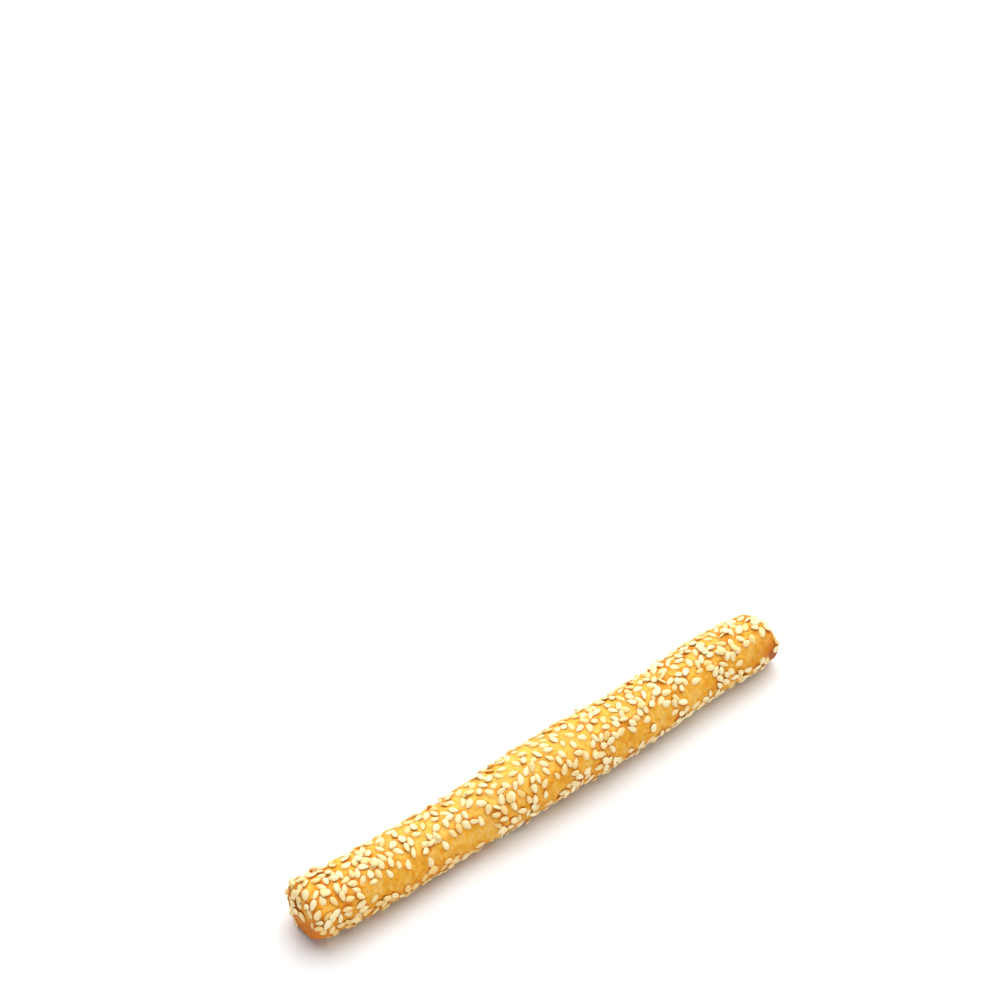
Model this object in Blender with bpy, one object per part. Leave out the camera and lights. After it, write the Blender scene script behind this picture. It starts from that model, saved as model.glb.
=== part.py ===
"""A sesame breadstick, lying as it rests: a baked stick of dough, covered in the seeds it was rolled in.

Metres, +Z up. +X runs along the stick, and the origin is under its middle, on the surface that it lies on.
The dough's skin is one formula, skin_point, and each seed is set into that skin. The seeds are then fused
to the dough, and the underside is cut flat, as the baking tray left it.
"""

import math
import random

import bmesh
import bpy
import numpy as np
from mathutils import Matrix, Vector

MM = 0.001

# Dough
STICK_LENGTH = 161.4 * MM
DOUGH_RADIUS = 8.15 * MM
END_ROUNDING = 2.3 * MM
# How far the middle of each end stands out, or in where negative
END_CROWNS = {-1: 1.2 * MM, 1: -0.5 * MM}
TRAY_PRESS = 0.4 * MM
TRAY_MARGIN = 0.1 * MM
# Moves the bent, leaning stick so that its box is centred on the origin
CENTRING = (-0.05 * MM, -0.65 * MM)

# Slow unevenness of a stick rolled by hand: place along the stick, amount, reach
SWELLS = (
    (-76 * MM, 0.18 * MM, 18 * MM),
    (-33 * MM, -0.50 * MM, 12 * MM),
    (3 * MM, 0.62 * MM, 26 * MM),
    (60 * MM, 0.20 * MM, 16 * MM),
)
BENDS = (
    (-58 * MM, -1.80 * MM, 34 * MM),
    (-18 * MM, -0.35 * MM, 16 * MM),
    (66 * MM, 3.10 * MM, 29 * MM),
)
# Ridges round the stick: how many, height as a share of the radius, and turns over the whole length
RIDGES = ((2, 0.013, 0.35), (3, 0.010, -0.60), (5, 0.007, 0.45))
# How far the cut ends lean out, towards the bottom and towards -Y, per unit of height or width
END_LEANS = {-1: (0.07, 0.04), 1: (0.17, 0.10)}
END_LEAN_REACH = 9 * MM
# Where the ends' lower sides are drawn in: end, angle, amount as a share of the radius, and reach
TUCKS = ((1, 225, 0.15, 8.5 * MM), (-1, 228, 0.07, 4.5 * MM))

# Sesame seeds
SEED_LENGTH = 3.25 * MM
SEED_WIDTH = 2.12 * MM
SEED_RISE = 0.62 * MM
TIP_TAPER = 0.3
BURIED_DEPTH = 0.4 * MM
BURIED_SPREAD = 1.2
SEED_COUNT = 360
SEED_SPACING = 3.4 * MM
LARGEST_SEED = 1.06
SIZE_FALL = 0.00024
SCATTER_DRAW = 41
SCATTER_TRIES = 6000
SEED_TILT = 5.5
END_FACE_DENSITY = 0.3
STREAK_DENSITY = 0.004
# Streaks where few seeds stuck: start and end along the stick, angle at each, half width of the streak
BARE_STREAKS = (
    (-65 * MM, -46 * MM, 154, 162, 21),
    (-44 * MM, -23 * MM, 152, 172, 24),
    (-5 * MM, 4 * MM, 164, 160, 15),
    (7 * MM, 12 * MM, 150, 150, 12),
    (18 * MM, 41 * MM, 160, 166, 24),
    (44 * MM, 56 * MM, 158, 150, 20),
    (67 * MM, 79 * MM, 150, 160, 24),
    (77 * MM, 84 * MM, 188, 200, 26),
    (-84 * MM, -77 * MM, 264, 238, 64),
    (-72 * MM, -30 * MM, 24, 12, 12),
    (2 * MM, 50 * MM, 318, 334, 14),
)

# Facets
RING_POINTS = 22
SIDE_RINGS = 14
RIM_RINGS = 3
SEED_OUTLINE_POINTS = 6
SEED_TOP = ((-0.6, 0.42), (-0.6, -0.42), (0.35, 0))

FACE = DOUGH_RADIUS - END_ROUNDING
RIM = END_ROUNDING * math.pi / 2
SIDE = STICK_LENGTH - 2 * END_ROUNDING
SKIN_LENGTH = 2 * FACE + 2 * RIM + SIDE
END_MIDDLE = FACE / 4


def clear_scene():
    for obj in list(bpy.data.objects):
        bpy.data.objects.remove(obj)


def material(name, colour, roughness):
    made = bpy.data.materials.new(name)
    made.use_nodes = True
    shader = made.node_tree.nodes["Principled BSDF"]
    shader.inputs["Base Color"].default_value = (*colour, 1)
    shader.inputs["Roughness"].default_value = roughness
    shader.inputs["Metallic"].default_value = 0
    return made


def humps(x, table):
    """The sum of smooth humps at x, each given by its place, amount and reach."""
    return sum(
        amount * math.exp(-(((x - place) / reach) ** 2)) for place, amount, reach in table
    )


def meridian(along):
    """(x, radius) on an even stick, at a distance along its skin from the middle of its -X end."""
    end = -1 if along < SKIN_LENGTH / 2 else 1
    inward = min(along, SKIN_LENGTH - along)
    if inward < FACE:
        return end * (STICK_LENGTH / 2 + END_CROWNS[end] * (1 - (inward / FACE) ** 2) ** 2), inward
    if inward < FACE + RIM:
        turn = (inward - FACE) / END_ROUNDING
        back = END_ROUNDING * (1 - math.cos(turn))
        return end * (STICK_LENGTH / 2 - back), FACE + END_ROUNDING * math.sin(turn)
    return end * (STICK_LENGTH / 2 - END_ROUNDING + FACE + RIM - inward), DOUGH_RADIUS


def skin_point(along, angle):
    """A point of the dough's skin. The angle runs round the stick from +Y over the top to -Y."""
    x, radius = meridian(along)
    thick = DOUGH_RADIUS + humps(x, SWELLS)
    ridged = sum(
        height * math.cos(count * (angle + math.tau * turns * x / STICK_LENGTH))
        for count, height, turns in RIDGES
    )
    tucked = sum(
        amount
        * math.exp(-(((STICK_LENGTH / 2 - end * x) / reach) ** 2))
        * max(0.0, math.cos(angle - math.radians(middle))) ** 2
        for end, middle, amount, reach in TUCKS
    )
    out = radius / DOUGH_RADIUS * thick * (1 + ridged) * (1 - tucked)
    y = out * math.cos(angle)
    z = out * math.sin(angle)
    end = 1 if x > 0 else -1
    down_lean, side_lean = END_LEANS[end]
    near_end = math.exp(-(((STICK_LENGTH / 2 - abs(x)) / END_LEAN_REACH) ** 2))
    lean = near_end * (down_lean * z + side_lean * y)
    return Vector(
        (x - end * lean + CENTRING[0], y + humps(x, BENDS) + CENTRING[1], z + thick - TRAY_PRESS)
    )


def skin_frame(along, angle):
    """(point, direction along the stick, direction round it, outward direction) on the skin."""
    step = 0.1 * MM
    point = skin_point(along, angle)
    onward = (skin_point(along + step, angle) - skin_point(along - step, angle)).normalized()
    turn = step / DOUGH_RADIUS
    round_it = skin_point(along, angle + turn) - skin_point(along, angle - turn)
    outward = round_it.cross(onward).normalized()
    return point, onward, onward.cross(outward), outward


def bareness(x, angle):
    """From 0, covered in seeds, to 1, in the middle of a bare streak."""
    bare = 0
    for start, end, first, last, half_width in BARE_STREAKS:
        if start < x < end:
            middle = first + (last - first) * (x - start) / (end - start)
            off = (math.degrees(angle) - middle + 180) % 360 - 180
            bare = max(bare, math.exp(-((off / half_width) ** 4)))
    return bare


def scatter_seeds():
    """(matrix, size) of each seed, the largest first, with SEED_SPACING between their middles."""
    draw = random.Random(SCATTER_DRAW)
    seeds = []
    middles = np.full((1, 3), 1e3)
    for _ in range(SCATTER_TRIES):
        along = draw.uniform(END_MIDDLE, SKIN_LENGTH - END_MIDDLE)
        angle = draw.uniform(0, math.tau)
        heading = draw.uniform(0, math.tau)
        chance = draw.random()
        point, onward, round_it, outward = skin_frame(along, angle)
        on_face = min(along, SKIN_LENGTH - along) < FACE
        density = 1 - (1 - STREAK_DENSITY) * bareness(point.x, angle)
        if on_face:
            density *= END_FACE_DENSITY
        if chance > density or np.linalg.norm(middles - point, axis=1).min() < SEED_SPACING:
            continue
        middles = np.concatenate((middles, [point]))
        ahead = math.cos(heading) * onward + math.sin(heading) * round_it
        facing = Matrix((ahead, outward.cross(ahead), outward)).transposed().to_4x4()
        pitched = Matrix.Rotation(math.radians(draw.gauss(0, SEED_TILT)), 4, "Y")
        rolled = Matrix.Rotation(math.radians(draw.gauss(0, SEED_TILT)), 4, "X")
        size = LARGEST_SEED - SIZE_FALL * len(seeds)
        seeds.append((Matrix.Translation(point) @ facing @ pitched @ rolled, size))
        if len(seeds) == SEED_COUNT:
            break
    return seeds


def seed_mesh():
    """A seed with few sides: the hull of three points on top and of its outline, wider, under the skin.

    It is blunt at one end and drawn in to a tip at the other.
    """
    bm = bmesh.new()
    for i in range(SEED_OUTLINE_POINTS):
        turn = math.tau * (i + 0.5) / SEED_OUTLINE_POINTS
        x = SEED_LENGTH / 2 * math.cos(turn)
        y = SEED_WIDTH / 2 * math.sin(turn) * (1 - TIP_TAPER * math.cos(turn))
        bm.verts.new((BURIED_SPREAD * x, BURIED_SPREAD * y, -BURIED_DEPTH))
    for x_share, y_share in SEED_TOP:
        bm.verts.new((x_share * SEED_LENGTH / 2, y_share * SEED_WIDTH / 2, SEED_RISE))
    bmesh.ops.convex_hull(bm, input=bm.verts)
    made = bpy.data.meshes.new("seed")
    bm.to_mesh(made)
    bm.free()
    return made


def dough_stations():
    """Places along the skin of the rings of points that carry the dough's faces."""
    rim = [FACE + RIM * i / RIM_RINGS for i in range(RIM_RINGS)]
    side = [FACE + RIM + SIDE * i / SIDE_RINGS for i in range(SIDE_RINGS + 1)]
    near = [FACE / 2, *rim]
    return [*near, *side, *(SKIN_LENGTH - along for along in reversed(near))]


def make_dough(skin):
    """The bare stick: faces between the rings of points, and a fan of faces on each end."""
    bm = bmesh.new()
    rings = [
        [bm.verts.new(skin_point(along, math.tau * i / RING_POINTS)) for i in range(RING_POINTS)]
        for along in dough_stations()
    ]
    for ring, following in zip(rings, rings[1:]):
        for i in range(RING_POINTS):
            bm.faces.new((ring[i - 1], following[i - 1], following[i], ring[i]))
    for ring, along in ((rings[0], 0), (rings[-1], SKIN_LENGTH)):
        middle = bm.verts.new(skin_point(along, 0))
        for i in range(RING_POINTS):
            bm.faces.new((middle, ring[i - 1], ring[i]))
    bmesh.ops.recalc_face_normals(bm, faces=bm.faces)
    made = bpy.data.meshes.new("breadstick")
    bm.to_mesh(made)
    bm.free()
    made.materials.append(skin)
    made.shade_smooth()
    stick = bpy.data.objects.new("breadstick", made)
    bpy.context.scene.collection.objects.link(stick)
    return stick


def make_seeds(collection, husk):
    """The seeds as objects of their own, without the ones that the tray would plane off."""
    mesh = seed_mesh()
    mesh.materials.append(husk)
    for matrix, size in scatter_seeds():
        if matrix.translation.z < TRAY_MARGIN:
            continue
        seed = bpy.data.objects.new("seed", mesh)
        seed.matrix_world = matrix @ Matrix.Scale(size, 4)
        collection.objects.link(seed)


def apply_boolean(stick, operation, **operand):
    modifier = stick.modifiers.new(operation.lower(), "BOOLEAN")
    modifier.operation = operation
    modifier.solver = "MANIFOLD"
    for name, value in operand.items():
        setattr(modifier, name, value)
    bpy.context.view_layer.objects.active = stick
    bpy.ops.object.modifier_apply(modifier=modifier.name)


def fuse_seeds(stick, husk):
    collection = bpy.data.collections.new("seeds")
    bpy.context.scene.collection.children.link(collection)
    make_seeds(collection, husk)
    apply_boolean(stick, "UNION", operand_type="COLLECTION", collection=collection)
    for seed in list(collection.objects):
        bpy.data.objects.remove(seed)
    bpy.data.collections.remove(collection)


def flatten_underside(stick):
    """Cuts away what would be below the tray, which leaves a flat strip to rest on."""
    depth = 5 * MM
    bpy.ops.mesh.primitive_cube_add(size=1, location=(0, 0, -depth / 2))
    tray = bpy.context.object
    tray.scale = (2 * STICK_LENGTH, 4 * DOUGH_RADIUS, depth)
    apply_boolean(stick, "DIFFERENCE", object=tray)
    bpy.data.objects.remove(tray)


def main():
    clear_scene()
    stick = make_dough(material("baked dough", (0.72, 0.38, 0.07), 0.6))
    fuse_seeds(stick, material("sesame seed", (0.90, 0.76, 0.46), 0.5))
    flatten_underside(stick)
    stick.data.set_sharp_from_angle(angle=math.radians(30))


main()
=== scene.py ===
"""A sesame breadstick on a pale table: baked dough with the seeds it was rolled in pressed into its skin.

Metres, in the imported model's frame: +X along the stick, +Z up, and the table at zero. The dough and the
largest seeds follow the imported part's own formula and draws, so they lie where its solid has them.
"""

import math
import random

import bmesh
import bpy
import numpy as np
from mathutils import Matrix, Vector, kdtree, noise


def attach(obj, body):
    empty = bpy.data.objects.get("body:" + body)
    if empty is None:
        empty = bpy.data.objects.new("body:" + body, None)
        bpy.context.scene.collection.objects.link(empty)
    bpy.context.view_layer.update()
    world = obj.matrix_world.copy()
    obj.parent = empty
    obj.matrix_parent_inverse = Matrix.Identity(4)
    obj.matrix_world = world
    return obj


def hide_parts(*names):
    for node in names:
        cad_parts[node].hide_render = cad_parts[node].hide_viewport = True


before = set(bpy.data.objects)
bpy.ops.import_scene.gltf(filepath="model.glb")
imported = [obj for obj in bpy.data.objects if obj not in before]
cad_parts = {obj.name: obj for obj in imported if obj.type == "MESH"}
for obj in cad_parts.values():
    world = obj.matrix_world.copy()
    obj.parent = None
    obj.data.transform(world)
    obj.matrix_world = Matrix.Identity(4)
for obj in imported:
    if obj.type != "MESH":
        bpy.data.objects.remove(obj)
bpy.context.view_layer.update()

MM = 0.001

# Dough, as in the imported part
STICK_LENGTH = 161.4 * MM
DOUGH_RADIUS = 8.15 * MM
END_ROUNDING = 2.3 * MM
END_CROWNS = {-1: 1.2 * MM, 1: -0.5 * MM}
TRAY_PRESS = 0.4 * MM
CENTRING = (-0.05 * MM, -0.65 * MM)
SWELLS = (
    (-76 * MM, 0.18 * MM, 18 * MM),
    (-33 * MM, -0.50 * MM, 12 * MM),
    (3 * MM, 0.62 * MM, 26 * MM),
    (60 * MM, 0.20 * MM, 16 * MM),
)
BENDS = (
    (-58 * MM, -1.80 * MM, 34 * MM),
    (-18 * MM, -0.35 * MM, 16 * MM),
    (66 * MM, 3.10 * MM, 29 * MM),
)
RIDGES = ((2, 0.013, 0.35), (3, 0.010, -0.60), (5, 0.007, 0.45))
END_LEANS = {-1: (0.07, 0.04), 1: (0.17, 0.10)}
END_LEAN_REACH = 9 * MM
TUCKS = ((1, 225, 0.15, 8.5 * MM), (-1, 228, 0.07, 4.5 * MM))

# Seeds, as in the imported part
SEED_LENGTH = 3.25 * MM
SEED_WIDTH = 2.12 * MM
SEED_COUNT = 360
SEED_SPACING = 3.4 * MM
LARGEST_SEED = 1.06
SIZE_FALL = 0.00024
SCATTER_DRAW = 41
SCATTER_TRIES = 6000
SEED_TILT = 5.5
END_FACE_DENSITY = 0.3
STREAK_DENSITY = 0.004
BARE_STREAKS = (
    (-65 * MM, -46 * MM, 154, 162, 21),
    (-44 * MM, -23 * MM, 152, 172, 24),
    (-5 * MM, 4 * MM, 164, 160, 15),
    (7 * MM, 12 * MM, 150, 150, 12),
    (18 * MM, 41 * MM, 160, 166, 24),
    (44 * MM, 56 * MM, 158, 150, 20),
    (67 * MM, 79 * MM, 150, 160, 24),
    (77 * MM, 84 * MM, 188, 200, 26),
    (-84 * MM, -77 * MM, 264, 238, 64),
    (-72 * MM, -30 * MM, 24, 12, 12),
    (2 * MM, 50 * MM, 318, 334, 14),
)

# Lengths along the skin: an end's face, its rim, the side, the whole, and an end's middle without seeds
FACE = DOUGH_RADIUS - END_ROUNDING
RIM = END_ROUNDING * math.pi / 2
SIDE = STICK_LENGTH - 2 * END_ROUNDING
SKIN_LENGTH = 2 * FACE + 2 * RIM + SIDE
END_MIDDLE = FACE / 4

SEED_THICKNESS = 1.05 * MM

# Seeds that only show here: smaller ones in the gaps, of which some are rolled over on edge
FILL_TRIES = 15000
FILL_SIZES = (0.84, 1.02)
FILL_TILT = 9.5
# The share of the gaps that they fill, along the stick in millimetres
FILL_SHARES = (
    (-80, 1.0), (-64, 0.85), (-46, 0.5), (-22, 0.3), (0, 0.2), (12, 0.35), (26, 1.15), (68, 1.25), (80, 0.7)
)
CLUMP_SIZE = 7 * MM
CLUMPING = 0.9
STREAK_SHARPNESS = 3.5
SEED_OVERLAP = 0.32
OVERLAP_LIFT = 0.42 * MM
ROLLED_SHARE = 0.1
ROLLS = (25, 60)
ROLLED_NARROWING = 0.7
ROLLED_LIFT = 0.2 * MM

# Single seeds: one on the browned tip, with its place along the skin, angle and heading, and the riders
SINGLE_SIZE = 0.95
TIP_SEED = (166.6 * MM, math.radians(167), math.radians(75))
RIDER_TRIES = 170
RIDER_CROWDING = 1.2
RIDER_PITCHES = (15, 28)
RIDER_LIFT = 0.62 * MM
# Riders fall off where the skin's outward direction points lower than this
RIDER_HOLD = -0.2

# How the copies of a seed differ: in length, width and thickness, in bend, in height over the skin, in toast
COPY_SHARES = ((0.92, 1.06), (0.88, 1.12), (0.85, 1.15))
COPY_BEND = 0.05
COPY_LIFTS = (-0.08 * MM, 0.24 * MM)
MEAN_TOAST = 0.36
TOAST_SPREAD = 0.27

# Fineness of the dough's mesh
RING_POINTS = 160
FIRST_CUTS = 21
SECOND_CUTS = 22
RIM_SEGMENTS = 9
FACE_RINGS = 13
# Slack where edges and faces are picked by their place
SLACK = 0.01 * MM

# Unevenness of the baked skin: size of the bumps, and their height
RELIEF = ((3.4 * MM, 0.22 * MM), (1.4 * MM, 0.23 * MM), (0.7 * MM, 0.17 * MM))
# How the dough stands up against a seed, and how deep it goes down under one
SEED_COLLAR = 0.19 * MM
HIGHEST_COLLAR = 1.2
COLLAR_WIDTH = 0.42 * MM
SEED_BED = 0.40 * MM
BED_SLOPE = 0.35 * MM
# A seed's outline for this: its mean radius, how much its tip and a roll narrow it, and how far it counts
SEED_RADIUS = 1.2 * MM
TIP_NARROWING = 0.25
ROLL_NARROWING = 0.5
SEED_SURROUNDINGS = 3.2 * MM
# The dough under a seed that lies on the table stays this far off it
TABLE_GAP = 0.06 * MM

# Browning, as an amount: at the ends' rims and on the tray, each with its reach; and painted shade low on
# the near end, on the dough and on its seeds
RIM_BAKE = (0.3, 2.4 * MM)
TRAY_BAKE = (0.4, 1.2 * MM)
SIDE_SHADE = 0.48
SIDE_SHADE_ON_SEEDS = 0.75
# The low side of the near end: its painted shade fades out between these places, and between these heights
SIDE_PLACES = (-45 * MM, -15 * MM)
SIDE_HEIGHTS = (6.5 * MM, 11.5 * MM)
# Places the oven caught: along the skin, angle, amount and reach
SCORCHES = (
    (6.6 * MM, 236, 0.08, 5.2 * MM),
    (10.0 * MM, 195, 0.1, 8.0 * MM),
    (166.3 * MM, 172, 1.1, 3.5 * MM),
    (160.0 * MM, 165, 0.32, 8.0 * MM),
    (168.0 * MM, 215, 0.8, 4.5 * MM),
    (166.0 * MM, 60, 0.6, 2.6 * MM),
)
# How much painted light pales the top, along the stick in millimetres, and how far up the skin faces there
PAINTED_TOP_LIGHT_ALONG = ((-75, 0.1), (-45, 0.75), (-10, 1.0), (15, 0.5), (70, 0.3))
PAINTED_TOP_LIGHT_FACING = (0.55, 0.9)


# Shape of the stick


def humps(x, table):
    """The sum of smooth humps at x, each given by its place, amount and reach."""
    return sum(
        amount * math.exp(-(((x - place) / reach) ** 2)) for place, amount, reach in table
    )


def meridian(along):
    """(x, radius) on an even stick, at a distance along its skin from the middle of its -X end."""
    end = -1 if along < SKIN_LENGTH / 2 else 1
    inward = min(along, SKIN_LENGTH - along)
    if inward < FACE:
        return end * (STICK_LENGTH / 2 + END_CROWNS[end] * (1 - (inward / FACE) ** 2) ** 2), inward
    if inward < FACE + RIM:
        turn = (inward - FACE) / END_ROUNDING
        back = END_ROUNDING * (1 - math.cos(turn))
        return end * (STICK_LENGTH / 2 - back), FACE + END_ROUNDING * math.sin(turn)
    return end * (STICK_LENGTH / 2 - END_ROUNDING + FACE + RIM - inward), DOUGH_RADIUS


def hand_rolled(x, radius, angle):
    """Where a point of an even stick is on the uneven one."""
    thick = DOUGH_RADIUS + humps(x, SWELLS)
    ridged = sum(
        height * math.cos(count * (angle + math.tau * turns * x / STICK_LENGTH))
        for count, height, turns in RIDGES
    )
    tucked = sum(
        amount
        * math.exp(-(((STICK_LENGTH / 2 - end * x) / reach) ** 2))
        * max(0.0, math.cos(angle - math.radians(middle))) ** 2
        for end, middle, amount, reach in TUCKS
    )
    out = radius / DOUGH_RADIUS * thick * (1 + ridged) * (1 - tucked)
    y = out * math.cos(angle)
    z = out * math.sin(angle)
    end = 1 if x > 0 else -1
    down_lean, side_lean = END_LEANS[end]
    near_end = math.exp(-(((STICK_LENGTH / 2 - abs(x)) / END_LEAN_REACH) ** 2))
    lean = near_end * (down_lean * z + side_lean * y)
    return Vector(
        (x - end * lean + CENTRING[0], y + humps(x, BENDS) + CENTRING[1], z + thick - TRAY_PRESS)
    )


def skin_point(along, angle):
    """A point of the dough's skin. The angle runs round the stick from +Y over the top to -Y."""
    x, radius = meridian(along)
    return hand_rolled(x, radius, angle)


def skin_frame(along, angle):
    """(point, direction along the stick, direction round it, outward direction) on the skin."""
    step = 0.1 * MM
    point = skin_point(along, angle)
    onward = (skin_point(along + step, angle) - skin_point(along - step, angle)).normalized()
    turn = step / DOUGH_RADIUS
    round_it = skin_point(along, angle + turn) - skin_point(along, angle - turn)
    outward = round_it.cross(onward).normalized()
    return point, onward, onward.cross(outward), outward


def bareness(x, angle):
    """From 0, covered in seeds, to 1, in the middle of a bare streak."""
    bare = 0
    for start, end, first, last, half_width in BARE_STREAKS:
        if start < x < end:
            middle = first + (last - first) * (x - start) / (end - start)
            off = (math.degrees(angle) - middle + 180) % 360 - 180
            bare = max(bare, math.exp(-((off / half_width) ** 4)))
    return bare


# Where the seeds lie


class Seed:
    """One seed: its place without size, the skin's outward direction, its size, roll and lift."""

    def __init__(self, matrix, outward, size, roll=0.0, lift=0.0):
        self.matrix = matrix
        self.outward = outward
        self.size = size
        self.roll = roll
        self.lift = lift


def place_at(along, angle, heading):
    """(point, direction of the seed's tip, outward direction) at a place on the skin."""
    point, onward, round_it, outward = skin_frame(along, angle)
    return point, math.cos(heading) * onward + math.sin(heading) * round_it, outward


def draw_place(draw, sharpness=1):
    """A drawn place on the skin and the seed's heading there, or None where the draw says it is bare.

    The bare streaks have soft edges, which a greater sharpness makes clear of seeds.
    """
    along = draw.uniform(END_MIDDLE, SKIN_LENGTH - END_MIDDLE)
    angle = draw.uniform(0, math.tau)
    heading = draw.uniform(0, math.tau)
    chance = draw.random()
    place = place_at(along, angle, heading)
    density = (1 - (1 - STREAK_DENSITY) * bareness(place[0].x, angle)) ** sharpness
    if min(along, SKIN_LENGTH - along) < FACE:
        density *= END_FACE_DENSITY
    return None if chance > density else place


def facing(ahead, outward):
    """A turn that lays a seed's length along ahead, with its flat side outward."""
    return Matrix((ahead, outward.cross(ahead), outward)).transposed().to_4x4()


def seed_matrix(draw, point, ahead, outward, roll=0.0, pitch=0.0, tilt=SEED_TILT):
    """A seed's place and turn, with a drawn tilt of about so many degrees both ways."""
    pitched = Matrix.Rotation(pitch + math.radians(draw.gauss(0, tilt)), 4, "Y")
    rolled = Matrix.Rotation(roll + math.radians(draw.gauss(0, tilt)), 4, "X")
    return Matrix.Translation(point) @ facing(ahead, outward) @ pitched @ rolled


def first_seeds():
    """The largest seeds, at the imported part's places."""
    draw = random.Random(SCATTER_DRAW)
    seeds = []
    middles = np.full((1, 3), 1e3)
    for _ in range(SCATTER_TRIES):
        place = draw_place(draw)
        if place is None or np.linalg.norm(middles - place[0], axis=1).min() < SEED_SPACING:
            continue
        middles = np.concatenate((middles, [place[0]]))
        matrix = seed_matrix(draw, *place)
        seeds.append(Seed(matrix, place[2], LARGEST_SEED - SIZE_FALL * len(seeds)))
        if len(seeds) == SEED_COUNT:
            break
    return seeds


def discs_of(matrix, size):
    """The middles of three discs along a seed, and their radius."""
    half_width = size * SEED_WIDTH / 2
    reach = size * SEED_LENGTH / 2 - half_width
    ahead = matrix.to_3x3().col[0]
    return np.array([matrix.translation + ahead * reach * place for place in (-1, 0, 1)]), half_width


def filled(point):
    """The share of the gaps round a point that more seeds fill: it changes along the stick and in clumps."""
    share = np.interp(point.x / MM, *zip(*FILL_SHARES))
    return share * (1 + CLUMPING * noise.noise(point / CLUMP_SIZE))


def filling_seeds(seeds):
    """Smaller seeds in the gaps between the first ones, some of them rolled over on edge."""
    draw = random.Random(SCATTER_DRAW + 1)
    taken = [discs_of(seed.matrix, seed.size) for seed in seeds]
    discs = np.array([middles for middles, _ in taken])
    widths = np.array([half_width for _, half_width in taken])
    made = []
    for _ in range(FILL_TRIES):
        place = draw_place(draw, STREAK_SHARPNESS)
        if place is None or draw.random() > filled(place[0]):
            continue
        roll = math.radians(draw.uniform(*ROLLS)) if draw.random() < ROLLED_SHARE else 0.0
        size = draw.uniform(*FILL_SIZES)
        middles, half_width = discs_of(Matrix.Translation(place[0]) @ facing(*place[1:]), size)
        half_width *= math.cos(roll * ROLLED_NARROWING)
        near = np.linalg.norm(discs[:, :, None] - middles[None, None], axis=3).min(axis=(1, 2))
        overlap = (1 - near / (widths + half_width)).max()
        if overlap > SEED_OVERLAP:
            continue
        discs = np.concatenate((discs, middles[None]))
        widths = np.append(widths, half_width)
        lift = (ROLLED_LIFT if roll else 0.0) + OVERLAP_LIFT * max(overlap, 0.0) / SEED_OVERLAP
        matrix = seed_matrix(draw, *place, roll, tilt=FILL_TILT)
        made.append(Seed(matrix, place[2], size, roll, lift))
    return made


def single_seeds():
    """The seed on the tip, and a few seeds that stuck on top of others, tipped over them."""
    draw = random.Random(SCATTER_DRAW + 2)
    place = place_at(*TIP_SEED)
    made = [Seed(seed_matrix(draw, *place), place[2], SINGLE_SIZE)]
    for _ in range(RIDER_TRIES):
        place = draw_place(draw, STREAK_SHARPNESS)
        if place is None or place[2].z < RIDER_HOLD or draw.random() > RIDER_CROWDING * filled(place[0]):
            continue
        pitch = math.radians(draw.uniform(*RIDER_PITCHES))
        matrix = seed_matrix(draw, *place, pitch=pitch)
        made.append(Seed(matrix, place[2], SINGLE_SIZE, lift=RIDER_LIFT))
    return made


# Modelling helpers


def start_editing(piece, mode):
    """Takes one piece into edit mode, where verts, edges or faces can be picked."""
    bpy.ops.object.select_all(action="DESELECT")
    bpy.context.view_layer.objects.active = piece
    piece.select_set(True)
    bpy.ops.object.mode_set(mode="EDIT")
    bpy.ops.mesh.select_mode(type=mode)


def stop_editing():
    bpy.ops.object.mode_set(mode="OBJECT")


def pick(piece, kind, wanted):
    """Selects, in edit mode, the verts, edges or faces for which wanted is true, and nothing else."""
    bpy.ops.mesh.select_all(action="DESELECT")
    mesh = bmesh.from_edit_mesh(piece.data)
    for item in getattr(mesh, kind):
        if wanted(item):
            item.select_set(True)
    mesh.select_flush_mode()
    bmesh.update_edit_mesh(piece.data)


def add_primitive(add, name, **settings):
    """Adds a primitive and returns it with its turn in its mesh."""
    bpy.ops.object.select_all(action="DESELECT")
    add(**settings)
    piece = bpy.context.object
    piece.name = name
    piece.data.name = name
    bpy.ops.object.transform_apply(location=True, rotation=True, scale=True)
    return piece


def float_attribute(mesh, name, values):
    """Keeps one number a point on a mesh, for its material to read."""
    made = mesh.attributes.new(name, "FLOAT", "POINT")
    made.data.foreach_set("value", np.asarray(values, dtype=np.float32))


# The dough


def even_stick():
    """A straight round stick with rounded rims, cut finely along and across."""
    stick = add_primitive(
        bpy.ops.mesh.primitive_cylinder_add,
        "baked_dough",
        vertices=RING_POINTS,
        radius=DOUGH_RADIUS,
        depth=STICK_LENGTH,
        rotation=(0, math.pi / 2, 0),
    )
    end = STICK_LENGTH / 2 - SLACK
    start_editing(stick, "EDGE")
    pick(stick, "edges", lambda edge: abs(edge.verts[0].co.x + edge.verts[1].co.x) > 2 * end)
    bpy.ops.mesh.bevel(offset=END_ROUNDING, segments=RIM_SEGMENTS, profile=0.5)
    for cuts, longest in ((FIRST_CUTS, SIDE), (SECOND_CUTS, SIDE / (FIRST_CUTS + 1))):
        pick(stick, "edges", lambda edge: abs(edge.verts[0].co.x - edge.verts[1].co.x) > longest / 2)
        bpy.ops.mesh.subdivide(number_cuts=cuts)
    bpy.ops.mesh.select_mode(type="FACE")
    step = FACE / (FACE_RINGS + 0.5)
    for ring in range(FACE_RINGS):
        inner = FACE - step * ring + SLACK
        pick(
            stick,
            "faces",
            lambda face: len(face.verts) == RING_POINTS and all(v.co.yz.length < inner for v in face.verts),
        )
        bpy.ops.mesh.inset(thickness=step)
    bpy.ops.mesh.poke()
    stop_editing()
    return stick


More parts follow.
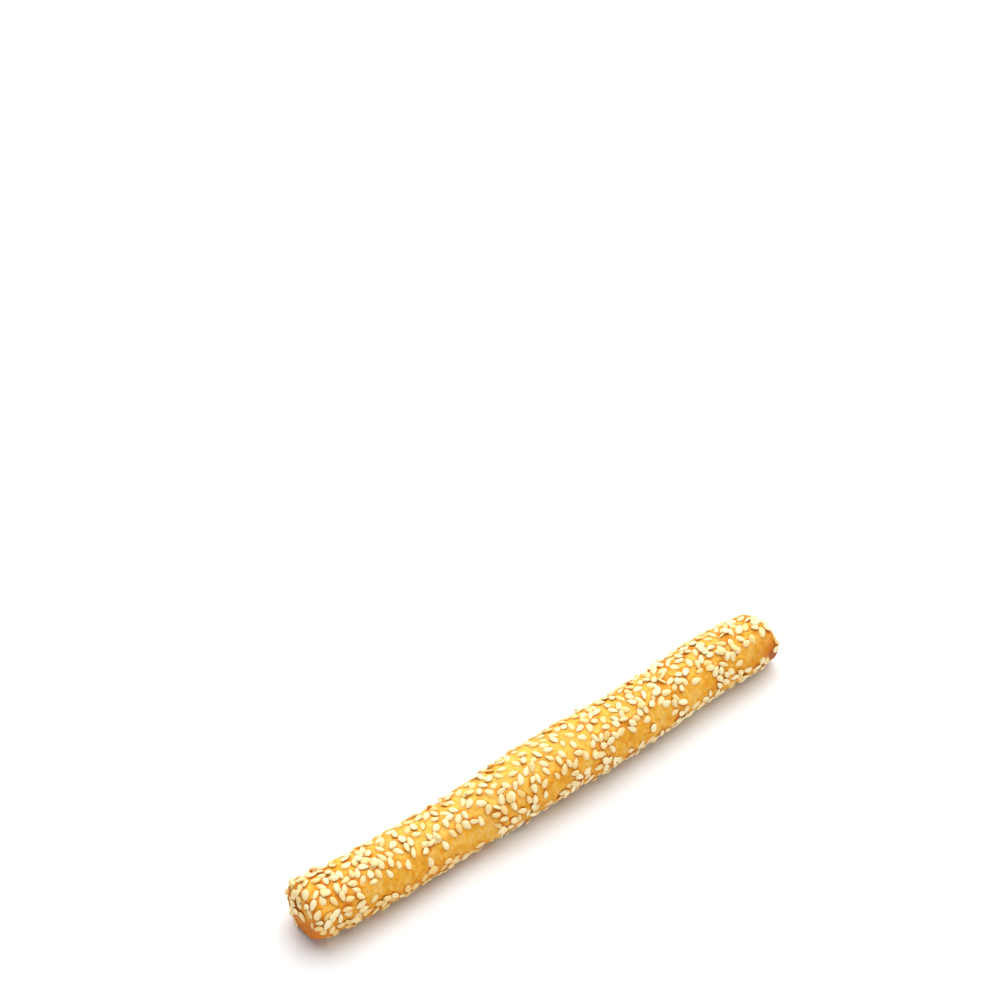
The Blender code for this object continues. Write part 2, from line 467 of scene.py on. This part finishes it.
def shape_dough(stick):
    """Gives the even stick its uneven shape, and returns (x, radius, angle) of its points before that."""
    mesh = stick.data
    places = []
    for vert in mesh.vertices:
        x, radius = vert.co.x, vert.co.yz.length
        end = 1 if x > 0 else -1
        if radius < FACE:
            x += end * END_CROWNS[end] * (1 - (radius / FACE) ** 2) ** 2
        places.append((x, radius, math.atan2(vert.co.z, vert.co.y)))
    for vert, place in zip(mesh.vertices, places):
        vert.co = hand_rolled(*place)
    mesh.update()
    return places


def fine_relief(point):
    """How far the baked skin stands out at a point."""
    return sum(height * noise.noise(point / size) for size, height in RELIEF)


def nearness_to_seeds(points, seeds):
    """For each point: how deep inside a seed's outline it is, and how crowded by seeds' edges."""
    tree = kdtree.KDTree(len(points))
    for i, point in enumerate(points):
        tree.insert(point, i)
    tree.balance()
    coords = np.array([point[:] for point in points])
    inside = np.zeros(len(points))
    crowd = np.zeros(len(points))
    for seed in seeds:
        found = tree.find_range(seed.matrix.translation, SEED_SURROUNDINGS)
        if not found:
            continue
        index = np.array([item[1] for item in found])
        turn = np.array(seed.matrix.to_3x3())
        local = (coords[index] - np.array(seed.matrix.translation)) @ turn
        u = local[:, 0] / (seed.size * SEED_LENGTH / 2)
        half_width = seed.size * SEED_WIDTH / 2 * (1 - ROLL_NARROWING * abs(math.sin(seed.roll)))
        v = local[:, 1] / half_width / (1 - TIP_NARROWING * np.clip(u, -1, 1))
        off = (np.hypot(u, v) - 1) * seed.size * SEED_RADIUS
        inside[index] = np.maximum(inside[index], np.clip(-off / BED_SLOPE, 0, 1))
        crowd[index] += np.exp(-((np.maximum(off, 0) / COLLAR_WIDTH) ** 2))
    return inside, crowd


def ramp(value, low, high):
    """0 below low, 1 above high, and straight in between."""
    return min(1.0, max(0.0, (value - low) / (high - low)))


def painted_top_light(point, normal):
    """How much painted light pales the skin at a point, from 0 to 1: most on top of the stick's middle."""
    return ramp(normal.z, *PAINTED_TOP_LIGHT_FACING) * float(np.interp(point.x / MM, *zip(*PAINTED_TOP_LIGHT_ALONG)))


def painted_low_side_shade(point):
    """How much painted shade darkens a point for lying low on the near end, from 0 to 1."""
    return (1 - ramp(point.x, *SIDE_PLACES)) * (1 - ramp(point.z, *SIDE_HEIGHTS))


def bake_and_side_shade(place, point, scorched):
    """How much darker the skin is: browned by the oven at the rims, on the tray and in spots, and painted
    shade low on one side.
    """
    from_end = STICK_LENGTH / 2 - abs(place[0])
    spots = [((point - middle).length, amount, reach) for middle, amount, reach in scorched]
    bake_and_shade = SIDE_SHADE * painted_low_side_shade(point)
    for distance, amount, reach in ((from_end, *RIM_BAKE), (point.z, *TRAY_BAKE), *spots):
        bake_and_shade += amount * math.exp(-((distance / reach) ** 2))
    return bake_and_shade


def make_dough(seeds):
    """The dough, with a baked skin that stands up round its seeds and goes down under them."""
    stick = even_stick()
    places = shape_dough(stick)
    mesh = stick.data
    points = [vert.co.copy() for vert in mesh.vertices]
    normals = [vert.normal.copy() for vert in mesh.vertices]
    inside, crowd = nearness_to_seeds(points, seeds)
    for i, vert in enumerate(mesh.vertices):
        collar = SEED_COLLAR * min(crowd[i], HIGHEST_COLLAR)
        vert.co = points[i] + normals[i] * (fine_relief(points[i]) + collar - SEED_BED * inside[i])
        vert.co.z = max(vert.co.z, TABLE_GAP * inside[i])
    # Crowding by seeds' edges, which darkens the crust's colour: partly browning, partly painted shade
    # between the seeds
    float_attribute(mesh, "crevice_browning_and_shade", crowd)
    scorched = [
        (skin_point(along, math.radians(degrees)), amount, reach)
        for along, degrees, amount, reach in SCORCHES
    ]
    # Browning, with painted shade low on the near end, for the crust's colour
    float_attribute(mesh, "bake_and_shade", [bake_and_side_shade(*pair, scorched) for pair in zip(places, points)])
    # Painted light on top of the stick, for the crust's colour
    float_attribute(mesh, "pale", [painted_top_light(*pair) for pair in zip(points, normals)])
    bpy.ops.object.shade_smooth()
    mesh.materials.append(baked_dough())
    return stick


# The seeds

# Place along a seed, from its blunt end to its tip, and its width there as a share of an even oval's
SEED_TAPER = ((-0.9, 1.10), (-0.6, 1.10), (-0.3, 1.06), (0.0, 0.98), (0.3, 0.88), (0.6, 0.76), (0.9, 0.60))


def model_seed(name, width, thickness):
    """One seed, lying along +X with its tip ahead: an oval drawn in towards the tip."""
    seed = add_primitive(
        bpy.ops.mesh.primitive_uv_sphere_add,
        name,
        segments=8,
        ring_count=7,
        radius=SEED_LENGTH / 2,
        rotation=(0, math.pi / 2, 0),
    )
    start_editing(seed, "VERT")
    bpy.ops.mesh.select_all(action="SELECT")
    bpy.ops.transform.resize(value=(1, width / SEED_LENGTH, thickness / SEED_LENGTH))
    half_length = SEED_LENGTH / 2
    rings = sorted({round(vert.co.x / half_length, 3) for vert in bmesh.from_edit_mesh(seed.data).verts})
    for ring in rings[1:-1]:
        share = float(np.interp(ring, *zip(*SEED_TAPER)))
        pick(seed, "verts", lambda vert: abs(vert.co.x - ring * half_length) < SLACK)
        bpy.ops.transform.resize(
            value=(1, share, (1 + share) / 2), center_override=(ring * half_length, 0, 0)
        )
    stop_editing()
    return seed


def sow(name, seeds, draw, material, width=SEED_WIDTH, thickness=SEED_THICKNESS):
    """Copies one modelled seed to every place, into one mesh, each copy a little different."""
    model = model_seed(name, width, thickness)
    mesh = model.data
    shape = np.array([vert.co[:] for vert in mesh.vertices])
    faces = [tuple(face.vertices) for face in mesh.polygons]
    points, polygons, toast_and_shade, height = [], [], [], []
    for seed in seeds:
        start = len(points) * len(shape)
        copy = shape * [draw.uniform(*shares) for shares in COPY_SHARES] * seed.size
        copy[:, 1] += draw.gauss(0, COPY_BEND) / (SEED_LENGTH / 2) * copy[:, 0] ** 2
        turn = np.array(seed.matrix.to_3x3())
        copy = copy @ turn.T + turn[:, 2] * (draw.uniform(*COPY_LIFTS) + seed.lift)
        height.append(copy @ np.array(seed.outward))
        copy += np.array(seed.matrix.translation)
        # The tray pressed the lowest seeds flat
        copy[:, 2] = np.maximum(copy[:, 2], 0)
        points.append(copy)
        polygons += [tuple(start + i for i in face) for face in faces]
        # The copy's toast, with painted shade added low on the near end
        toast_and_shade_amount = draw.gauss(MEAN_TOAST, TOAST_SPREAD) + SIDE_SHADE_ON_SEEDS * painted_low_side_shade(seed.matrix.translation)
        toast_and_shade += [min(1.0, max(0.0, toast_and_shade_amount))] * len(shape)
    mesh.clear_geometry()
    mesh.from_pydata(np.concatenate(points).tolist(), [], polygons)
    mesh.update()
    float_attribute(mesh, "toast_and_shade", toast_and_shade)
    float_attribute(mesh, "tip", np.tile(shape[:, 0] / (SEED_LENGTH / 2), len(seeds)))
    float_attribute(mesh, "height", np.concatenate(height) / MM)
    bpy.ops.object.select_all(action="DESELECT")
    model.select_set(True)
    bpy.context.view_layer.objects.active = model
    bpy.ops.object.shade_smooth()
    mesh.materials.append(material)
    return model


# Materials


class Wire:
    """A socket in a material. Sums, differences and products of wires and numbers add Math nodes."""

    def __init__(self, tree, socket=None):
        self.tree = tree
        self.socket = socket

    def node(self, kind, settings, inputs, output=0):
        """Adds a node: its settings first, then its sockets' values or links. Returns one output."""
        made = self.tree.nodes.new(kind)
        for name, value in settings.items():
            setattr(made, name, value)
        for name, value in inputs.items():
            if isinstance(value, Wire):
                self.tree.links.new(value.socket, made.inputs[name])
            else:
                made.inputs[name].default_value = value
        return Wire(self.tree, made.outputs[output])

    def math(self, operation, *values):
        return self.node("ShaderNodeMath", {"operation": operation}, dict(enumerate(values)))

    def __add__(self, other):
        return self.math("ADD", self, other)

    __radd__ = __add__

    def __sub__(self, other):
        return self.math("SUBTRACT", self, other)

    def __rsub__(self, other):
        return self.math("SUBTRACT", other, self)

    def __mul__(self, other):
        return self.math("MULTIPLY", self, other)

    __rmul__ = __mul__

    def between(self, low, high):
        """0 below low, 1 above high, and smooth in between."""
        return self.node(
            "ShaderNodeMapRange",
            {"interpolation_type": "SMOOTHSTEP"},
            {"Value": self, "From Min": low, "From Max": high},
        )

    def mix(self, first, second):
        """The first colour where this is 0, the second where it is 1."""
        return self.node("ShaderNodeMix", {"data_type": "RGBA"}, {0: self, 6: first, 7: second}, 2)


def new_material(name):
    """(material, a wire to start from, its shader's inputs)"""
    made = bpy.data.materials.new(name)
    made.use_nodes = True
    shader = made.node_tree.nodes["Principled BSDF"]
    return made, Wire(made.node_tree), shader.inputs


def grain(wire, scale, detail=3.0):
    """A noise pattern fixed to the object, scale in cells to the metre."""
    place = wire.node("ShaderNodeTexCoord", {}, {}, "Object")
    return wire.node("ShaderNodeTexNoise", {}, {"Vector": place, "Scale": scale, "Detail": detail})


def attribute(wire, name):
    """A number that the mesh keeps for each of its points."""
    return wire.node("ShaderNodeAttribute", {"attribute_name": name}, {}, "Fac")


def link(wire, socket):
    wire.tree.links.new(wire.socket, socket)


# Painted light: the lighter crust colour that the top of the stick's middle is turned towards
PAINTED_TOP_LIGHT_CRUST = (0.94, 0.61, 0.12, 1)
PALE_CRUST = (0.89, 0.512, 0.10, 1)
YELLOW_CRUST = (0.87, 0.43, 0.032, 1)
DEEP_YELLOW_CRUST = (0.81, 0.33, 0.015, 1)
ORANGE_CRUST = (0.70, 0.20, 0.004, 1)
RED_CRUST = (0.36, 0.085, 0.012, 1)
CREAM_HULL = (0.99, 0.83, 0.49, 1)
GOLDEN_HULL = (0.90, 0.59, 0.18, 1)
# The lower sides of a seed, against its cream crown: partly the dough's tint, partly painted shade
LOW_EDGE_TINT_AND_SHADE_HULL = (0.92, 0.60, 0.17, 1)
CONTACT_TINT_AND_SHADE_HULL = (0.85, 0.42, 0.06, 1)
TAN_TIP = (0.66, 0.36, 0.11, 1)


def baked_dough():
    """Crust in patches of yellow, paler on top with painted light, more orange round the seeds with browning
    and painted shade, and brown where baked most, with painted shade low on the near end.
    """
    made, wire, shader = new_material("baked dough")
    patches = 0.5 * grain(wire, 150) + 0.5 * grain(wire, 600)
    crevice_browning_and_shade = attribute(wire, "crevice_browning_and_shade")
    bake_and_shade = attribute(wire, "bake_and_shade") + 0.2 * (grain(wire, 420, 2.0) - 0.5)
    colour = patches.between(0.41, 0.51).mix(PALE_CRUST, YELLOW_CRUST)
    colour = patches.between(0.51, 0.61).mix(colour, DEEP_YELLOW_CRUST)
    # Painted light: the top of the stick is paled towards a lighter crust, most on top of its middle
    pale = attribute(wire, "pale")
    colour = (0.7 * pale).mix(colour, PAINTED_TOP_LIGHT_CRUST)
    stains_and_crevice_shade = (
        (0.4, grain(wire, 105, 2.0).between(0.5, 0.68), ORANGE_CRUST),
        (0.5, grain(wire, 1400, 2.0).between(0.5, 0.8), ORANGE_CRUST),
        # Round the seeds and in tight gaps between them: partly browning, partly painted shade
        (0.5, crevice_browning_and_shade.between(0.3, 1.0), DEEP_YELLOW_CRUST),
        (0.8, crevice_browning_and_shade.between(0.85, 1.7), ORANGE_CRUST),
        (0.45, crevice_browning_and_shade.between(1.7, 2.6), RED_CRUST),
    )
    # Each stain is weaker on top, where the painted light pales the crust
    for amount, mask, tone in stains_and_crevice_shade:
        colour = (amount * mask * (1 - 0.55 * pale)).mix(colour, tone)
    # Browning, and painted shade low on the near end, turn the crust orange and then red
    colour = bake_and_shade.between(0.1, 0.8).mix(colour, ORANGE_CRUST)
    colour = (0.9 * bake_and_shade.between(0.75, 1.3)).mix(colour, RED_CRUST)
    link(colour, shader["Base Color"])
    link(0.42 + 0.2 * grain(wire, 900), shader["Roughness"])
    height = 0.5 * grain(wire, 2200) + 0.5 * grain(wire, 800)
    bump = wire.node("ShaderNodeBump", {}, {"Height": height, "Strength": 0.8, "Distance": 0.28 * MM})
    link(bump, shader["Normal"])
    shader["Subsurface Weight"].default_value = 0.12
    shader["Subsurface Radius"].default_value = (1.0, 0.45, 0.12)
    shader["Subsurface Scale"].default_value = 1.2 * MM
    shader["Specular IOR Level"].default_value = 0.16
    return made


def sesame_hull():
    """Cream to golden, seed by seed, with painted shade low on the near end, and darker at the tip and down
    where the hull meets the dough: that last partly the dough's tint, partly painted shade.
    """
    made, wire, shader = new_material("sesame hull")
    mottle = grain(wire, 700, 2.0).between(0.35, 0.75)
    # The toast attribute carries painted shade low on the near end
    toast_and_shade_amount = 0.85 * attribute(wire, "toast_and_shade") + 0.25 * mottle - 0.1
    colour = toast_and_shade_amount.between(0.0, 1.0).mix(CREAM_HULL, GOLDEN_HULL)
    height = attribute(wire, "height")
    # Darker down the seed's sides towards the dough: partly the dough's tint, partly painted shade
    colour = (0.75 * (1 - height.between(0.12, 0.58))).mix(colour, LOW_EDGE_TINT_AND_SHADE_HULL)
    colour = (0.8 * (1 - height.between(-0.3, 0.1))).mix(colour, CONTACT_TINT_AND_SHADE_HULL)
    colour = (0.45 * attribute(wire, "tip").between(0.62, 1.0)).mix(colour, TAN_TIP)
    link(colour, shader["Base Color"])
    link(0.34 + 0.2 * mottle, shader["Roughness"])
    bump = wire.node(
        "ShaderNodeBump", {}, {"Height": grain(wire, 2200, 2.0), "Strength": 0.3, "Distance": 0.05 * MM}
    )
    link(bump, shader["Normal"])
    shader["Subsurface Weight"].default_value = 0.2
    shader["Subsurface Radius"].default_value = (1.0, 0.7, 0.35)
    shader["Subsurface Scale"].default_value = 0.8 * MM
    return made


def pale_table():
    """A matt white surface, a little uneven in tone."""
    made, wire, shader = new_material("pale table")
    tone = grain(wire, 6, 2.0).mix((0.86, 0.865, 0.87, 1), (0.88, 0.885, 0.89, 1))
    link(tone, shader["Base Color"])
    shader["Roughness"].default_value = 0.75
    shader["Specular IOR Level"].default_value = 0.2
    return made


# The studio

CAMERA_PLACE = (-0.31610, -0.40504, 0.62084)
CAMERA_AZIMUTH = -36.671
CAMERA_ELEVATION = 44.734
CAMERA_LENS = 104.34


def add_camera():
    """The camera, in the photo's place."""
    camera = bpy.data.objects.new("camera", bpy.data.cameras.new("camera"))
    bpy.context.scene.collection.objects.link(camera)
    camera.location = CAMERA_PLACE
    camera.rotation_euler = (
        math.radians(90 - CAMERA_ELEVATION),
        0,
        math.radians(CAMERA_AZIMUTH),
    )
    camera.data.lens = CAMERA_LENS
    camera.data.clip_start = 0.05
    camera.data.clip_end = 20
    bpy.context.scene.camera = camera


def add_light(name, place, size, power, colour):
    """A square soft light that faces the stick."""
    light = bpy.data.lights.new(name, "AREA")
    light.size = size
    light.energy = power
    light.color = colour
    made = bpy.data.objects.new(name, light)
    made.location = place
    made.rotation_euler = Vector(place).to_track_quat("Z", "Y").to_euler()
    bpy.context.scene.collection.objects.link(made)


def light_studio():
    """A broad light above and a little behind, and a weak low one in front, in a dim light tent."""
    add_light("key", (0.45, 0.42, 1.1), 2.0, 36.5, (1, 0.985, 0.96))
    add_light("fill", (-1.2, -1.95, 0.45), 1.8, 15.5, (1, 0.98, 0.95))
    world = bpy.data.worlds.new("studio")
    world.use_nodes = True
    world.node_tree.nodes["Background"].inputs["Color"].default_value = (0.86, 0.93, 1, 1)
    world.node_tree.nodes["Background"].inputs["Strength"].default_value = 0.33
    bpy.context.scene.world = world
    bpy.context.scene.view_settings.view_transform = "Standard"


def lay_table():
    table = add_primitive(bpy.ops.mesh.primitive_plane_add, "table", size=6)
    table.data.materials.append(pale_table())


def main():
    """Makes the breadstick's pieces and its studio."""
    draw = random.Random(SCATTER_DRAW + 3)
    first = first_seeds()
    bedded = first + filling_seeds(first)
    tipped = [seed for seed in bedded if seed.roll] + single_seeds()
    flat = [seed for seed in bedded if not seed.roll]
    plump = [seed for i, seed in enumerate(flat) if i % 3]
    slender = flat[::3]
    hull = sesame_hull()
    pieces = [
        make_dough(bedded),
        sow("plump_seeds", plump, draw, hull),
        sow("slender_seeds", slender, draw, hull, 0.86 * SEED_WIDTH, 0.9 * SEED_THICKNESS),
        sow("tipped_seeds", tipped, draw, hull, 0.95 * SEED_WIDTH, 0.9 * SEED_THICKNESS),
    ]
    for piece in pieces:
        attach(piece, "root")
        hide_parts("breadstick")
        print(piece.name, len(piece.data.polygons), "faces")
    lay_table()
    light_studio()
    add_camera()


main()
